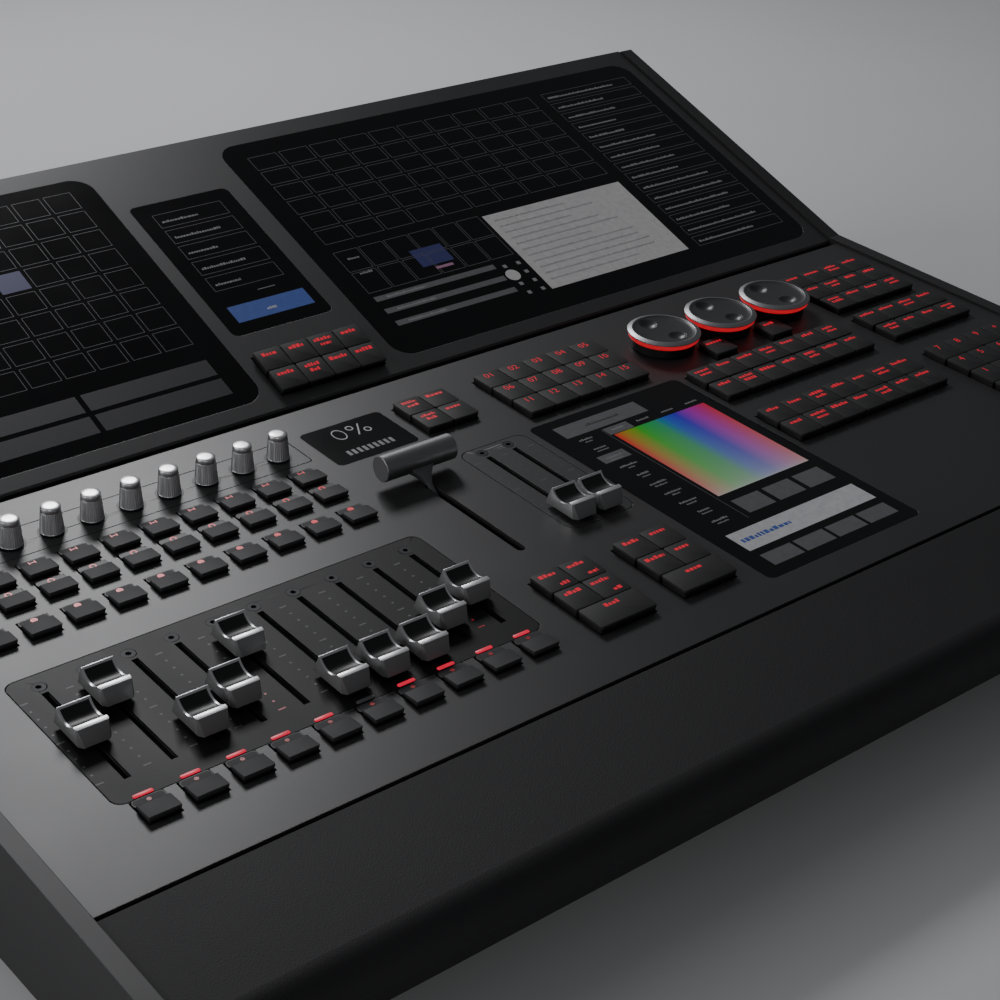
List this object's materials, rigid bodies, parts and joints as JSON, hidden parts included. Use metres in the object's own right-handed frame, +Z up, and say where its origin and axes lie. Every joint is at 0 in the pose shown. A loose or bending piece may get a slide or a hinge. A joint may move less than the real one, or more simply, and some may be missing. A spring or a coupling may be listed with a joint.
{
  "type": "lighting control desk",
  "caption": "Table-top stage lighting control desk: sloping deck of faders, keys, knobs, wheels and a crossfade lever, with a tilting screen deck behind it.",
  "frame": {"origin": "middle of the desk's footprint, on the surface it stands on", "axes": "+X to the operator's right, +Y towards the rear, +Z up"},
  "size_m": [0.68, 0.56, 0.1665],
  "materials": {
    "casing": "fine powder coat, near black",
    "deck_paint": "satin charcoal powder coat",
    "armrest": "fine matt grain",
    "gloss_black": "satin-gloss black laminate",
    "key_rubber": "soft-touch dark grey",
    "cap_metal": "cast and brushed, dark dish",
    "knob_metal": "ribbed, bright",
    "wheel_black": "satin black, bright rim",
    "grip_paint": "satin black with flat light ends",
    "display_black": "glossy glass over a display",
    "dark_steel": "blackened",
    "bright_steel": "plain",
    "socket_metal": "satin nickel",
    "circuit_board": "green solder mask",
    "rubber": "matt"
  },
  "bodies": {
    "desk": {"base_tray": "casing", "left_cheek": "casing", "right_cheek": "casing", "armrest": "armrest", "control_plate": "deck_paint", "rear_panel": "casing", "rear_sockets": "socket_metal", "rubber_feet": "rubber", "case_screws": "dark_steel", "fader_panels": "gloss_black", "fader_tracks": "bright_steel", "control_boards": "circuit_board", "main_board": "circuit_board", "power_supply": "bright_steel", "status_display": "display_black", "palette_screen": "display_black", "lever_bracket": "bright_steel", "hinge_pins": "bright_steel"},
    "screen_deck": {"screen_deck": "deck_paint", "screen_deck_cover": "casing", "main_screen": "display_black", "side_screen": "display_black", "menu_screen": "display_black"},
    "crossfade_lever": {"lever_stem": "dark_steel", "lever_grip": "grip_paint"},
    "fader_01": {"fader_cap_01": "cap_metal"},
    "fader_02": {"fader_cap_02": "cap_metal"},
    "fader_03": {"fader_cap_03": "cap_metal"},
    "fader_04": {"fader_cap_04": "cap_metal"},
    "fader_05": {"fader_cap_05": "cap_metal"},
    "fader_06": {"fader_cap_06": "cap_metal"},
    "fader_07": {"fader_cap_07": "cap_metal"},
    "fader_08": {"fader_cap_08": "cap_metal"},
    "fader_09": {"fader_cap_09": "cap_metal"},
    "fader_10": {"fader_cap_10": "cap_metal"},
    "master_fader_left": {"master_cap_left": "cap_metal"},
    "master_fader_right": {"master_cap_right": "cap_metal"},
    "wheel_1": {"wheel_1": "wheel_black"},
    "wheel_2": {"wheel_2": "wheel_black"},
    "wheel_3": {"wheel_3": "wheel_black"},
    "knob_01": {"knob_01": "knob_metal"},
    "knob_02": {"knob_02": "knob_metal"},
    "knob_03": {"knob_03": "knob_metal"},
    "knob_04": {"knob_04": "knob_metal"},
    "knob_05": {"knob_05": "knob_metal"},
    "knob_06": {"knob_06": "knob_metal"},
    "knob_07": {"knob_07": "knob_metal"},
    "knob_08": {"knob_08": "knob_metal"},
    "knob_09": {"knob_09": "knob_metal"},
    "knob_10": {"knob_10": "knob_metal"},
    "menu_keys": {"menu_keys": "key_rubber"},
    "record_keys": {"record_keys": "key_rubber"},
    "macro_keys": {"macro_keys": "key_rubber"},
    "transport_keys": {"transport_keys": "key_rubber"},
    "commit_key": {"commit_key": "key_rubber"},
    "go_key": {"go_key": "key_rubber"},
    "command_keys": {"command_keys": "key_rubber"},
    "number_keys": {"number_keys": "key_rubber"},
    "playback_keys": {"playback_keys": "key_rubber"},
    "flash_keys": {"flash_keys": "key_rubber"}
  },
  "joints": [
    {"name": "screen_deck_tilt", "type": "hinge", "parent": "desk", "child": "screen_deck", "pos_m": [0, 0.07065, 0.08152], "axis": [1, 0, 0], "range_deg": [0, 35]},
    {"name": "crossfade_lever_swing", "type": "hinge", "parent": "desk", "child": "crossfade_lever", "pos_m": [-0.0612, -0.07199, 0.04802], "axis": [1, 0, 0], "range_deg": [0, 102]},
    {"name": "fader_01_slide", "type": "slide", "parent": "desk", "child": "fader_01", "axis": [0, 0.9972, 0.075], "range_m": [-0.03, 0.03]},
    {"name": "fader_02_slide", "type": "slide", "parent": "desk", "child": "fader_02", "axis": [0, 0.9972, 0.075], "range_m": [-0.048, 0.012]},
    {"name": "fader_03_slide", "type": "slide", "parent": "desk", "child": "fader_03", "axis": [0, 0.9972, 0.075], "range_m": [-0.01, 0.05]},
    {"name": "fader_04_slide", "type": "slide", "parent": "desk", "child": "fader_04", "axis": [0, 0.9972, 0.075], "range_m": [-0.0185, 0.0415]},
    {"name": "fader_05_slide", "type": "slide", "parent": "desk", "child": "fader_05", "axis": [0, 0.9972, 0.075], "range_m": [-0.0465, 0.0135]},
    {"name": "fader_06_slide", "type": "slide", "parent": "desk", "child": "fader_06", "axis": [0, 0.9972, 0.075], "range_m": [-0.001, 0.059]},
    {"name": "fader_07_slide", "type": "slide", "parent": "desk", "child": "fader_07", "axis": [0, 0.9972, 0.075], "range_m": [-0.001, 0.059]},
    {"name": "fader_08_slide", "type": "slide", "parent": "desk", "child": "fader_08", "axis": [0, 0.9972, 0.075], "range_m": [-0.001, 0.059]},
    {"name": "fader_09_slide", "type": "slide", "parent": "desk", "child": "fader_09", "axis": [0, 0.9972, 0.075], "range_m": [-0.0145, 0.0455]},
    {"name": "fader_10_slide", "type": "slide", "parent": "desk", "child": "fader_10", "axis": [0, 0.9972, 0.075], "range_m": [-0.02375, 0.03625]},
    {"name": "master_fader_left_slide", "type": "slide", "parent": "desk", "child": "master_fader_left", "axis": [0, 0.9972, 0.075], "range_m": [0, 0.06]},
    {"name": "master_fader_right_slide", "type": "slide", "parent": "desk", "child": "master_fader_right", "axis": [0, 0.9972, 0.075], "range_m": [0, 0.06]},
    {"name": "wheel_1_turn", "type": "hinge", "parent": "desk", "child": "wheel_1", "pos_m": [0.1376, 0.00961, 0.08585], "axis": [0, -0.075, 0.9972], "continuous": true},
    {"name": "wheel_2_turn", "type": "hinge", "parent": "desk", "child": "wheel_2", "pos_m": [0.1809, 0.00961, 0.08585], "axis": [0, -0.075, 0.9972], "continuous": true},
    {"name": "wheel_3_turn", "type": "hinge", "parent": "desk", "child": "wheel_3", "pos_m": [0.2242, 0.00961, 0.08585], "axis": [0, -0.075, 0.9972], "continuous": true},
    {"name": "knob_01_turn", "type": "hinge", "parent": "desk", "child": "knob_01", "pos_m": [-0.285, 0.02237, 0.0868], "axis": [0, -0.075, 0.9972], "continuous": true},
    {"name": "knob_02_turn", "type": "hinge", "parent": "desk", "child": "knob_02", "pos_m": [-0.265, 0.02237, 0.0868], "axis": [0, -0.075, 0.9972], "continuous": true},
    {"name": "knob_03_turn", "type": "hinge", "parent": "desk", "child": "knob_03", "pos_m": [-0.245, 0.02237, 0.0868], "axis": [0, -0.075, 0.9972], "continuous": true},
    {"name": "knob_04_turn", "type": "hinge", "parent": "desk", "child": "knob_04", "pos_m": [-0.225, 0.02237, 0.0868], "axis": [0, -0.075, 0.9972], "continuous": true},
    {"name": "knob_05_turn", "type": "hinge", "parent": "desk", "child": "knob_05", "pos_m": [-0.205, 0.02237, 0.0868], "axis": [0, -0.075, 0.9972], "continuous": true},
    {"name": "knob_06_turn", "type": "hinge", "parent": "desk", "child": "knob_06", "pos_m": [-0.185, 0.02237, 0.0868], "axis": [0, -0.075, 0.9972], "continuous": true},
    {"name": "knob_07_turn", "type": "hinge", "parent": "desk", "child": "knob_07", "pos_m": [-0.165, 0.02237, 0.0868], "axis": [0, -0.075, 0.9972], "continuous": true},
    {"name": "knob_08_turn", "type": "hinge", "parent": "desk", "child": "knob_08", "pos_m": [-0.145, 0.02237, 0.0868], "axis": [0, -0.075, 0.9972], "continuous": true},
    {"name": "knob_09_turn", "type": "hinge", "parent": "desk", "child": "knob_09", "pos_m": [-0.125, 0.02237, 0.0868], "axis": [0, -0.075, 0.9972], "continuous": true},
    {"name": "knob_10_turn", "type": "hinge", "parent": "desk", "child": "knob_10", "pos_m": [-0.105, 0.02237, 0.0868], "axis": [0, -0.075, 0.9972], "continuous": true},
    {"name": "menu_keys_press", "type": "slide", "parent": "screen_deck", "child": "menu_keys", "axis": [0, 0.377, -0.9262], "range_m": [0, 0.0025], "stiffness_N_per_m": 2400, "springref_m": -0.002},
    {"name": "record_keys_press", "type": "slide", "parent": "desk", "child": "record_keys", "axis": [0, 0.075, -0.9972], "range_m": [0, 0.0025], "stiffness_N_per_m": 1200, "springref_m": -0.002},
    {"name": "macro_keys_press", "type": "slide", "parent": "desk", "child": "macro_keys", "axis": [0, 0.075, -0.9972], "range_m": [0, 0.0025], "stiffness_N_per_m": 4500, "springref_m": -0.002},
    {"name": "transport_keys_press", "type": "slide", "parent": "desk", "child": "transport_keys", "axis": [0, 0.075, -0.9972], "range_m": [0, 0.0025], "stiffness_N_per_m": 2400, "springref_m": -0.002},
    {"name": "commit_key_press", "type": "slide", "parent": "desk", "child": "commit_key", "axis": [0, 0.075, -0.9972], "range_m": [0, 0.0025], "stiffness_N_per_m": 300, "springref_m": -0.002},
    {"name": "go_key_press", "type": "slide", "parent": "desk", "child": "go_key", "axis": [0, 0.075, -0.9972], "range_m": [0, 0.0025], "stiffness_N_per_m": 300, "springref_m": -0.002},
    {"name": "command_keys_press", "type": "slide", "parent": "desk", "child": "command_keys", "axis": [0, 0.075, -0.9972], "range_m": [0, 0.0025], "stiffness_N_per_m": 15000, "springref_m": -0.002},
    {"name": "number_keys_press", "type": "slide", "parent": "desk", "child": "number_keys", "axis": [0, 0.075, -0.9972], "range_m": [0, 0.0025], "stiffness_N_per_m": 6000, "springref_m": -0.002},
    {"name": "playback_keys_press", "type": "slide", "parent": "desk", "child": "playback_keys", "axis": [0, 0.075, -0.9972], "range_m": [0, 0.0025], "stiffness_N_per_m": 9000, "springref_m": -0.002},
    {"name": "flash_keys_press", "type": "slide", "parent": "desk", "child": "flash_keys", "axis": [0, 0.075, -0.9972], "range_m": [0, 0.0025], "stiffness_N_per_m": 3000, "springref_m": -0.002}
  ]
}
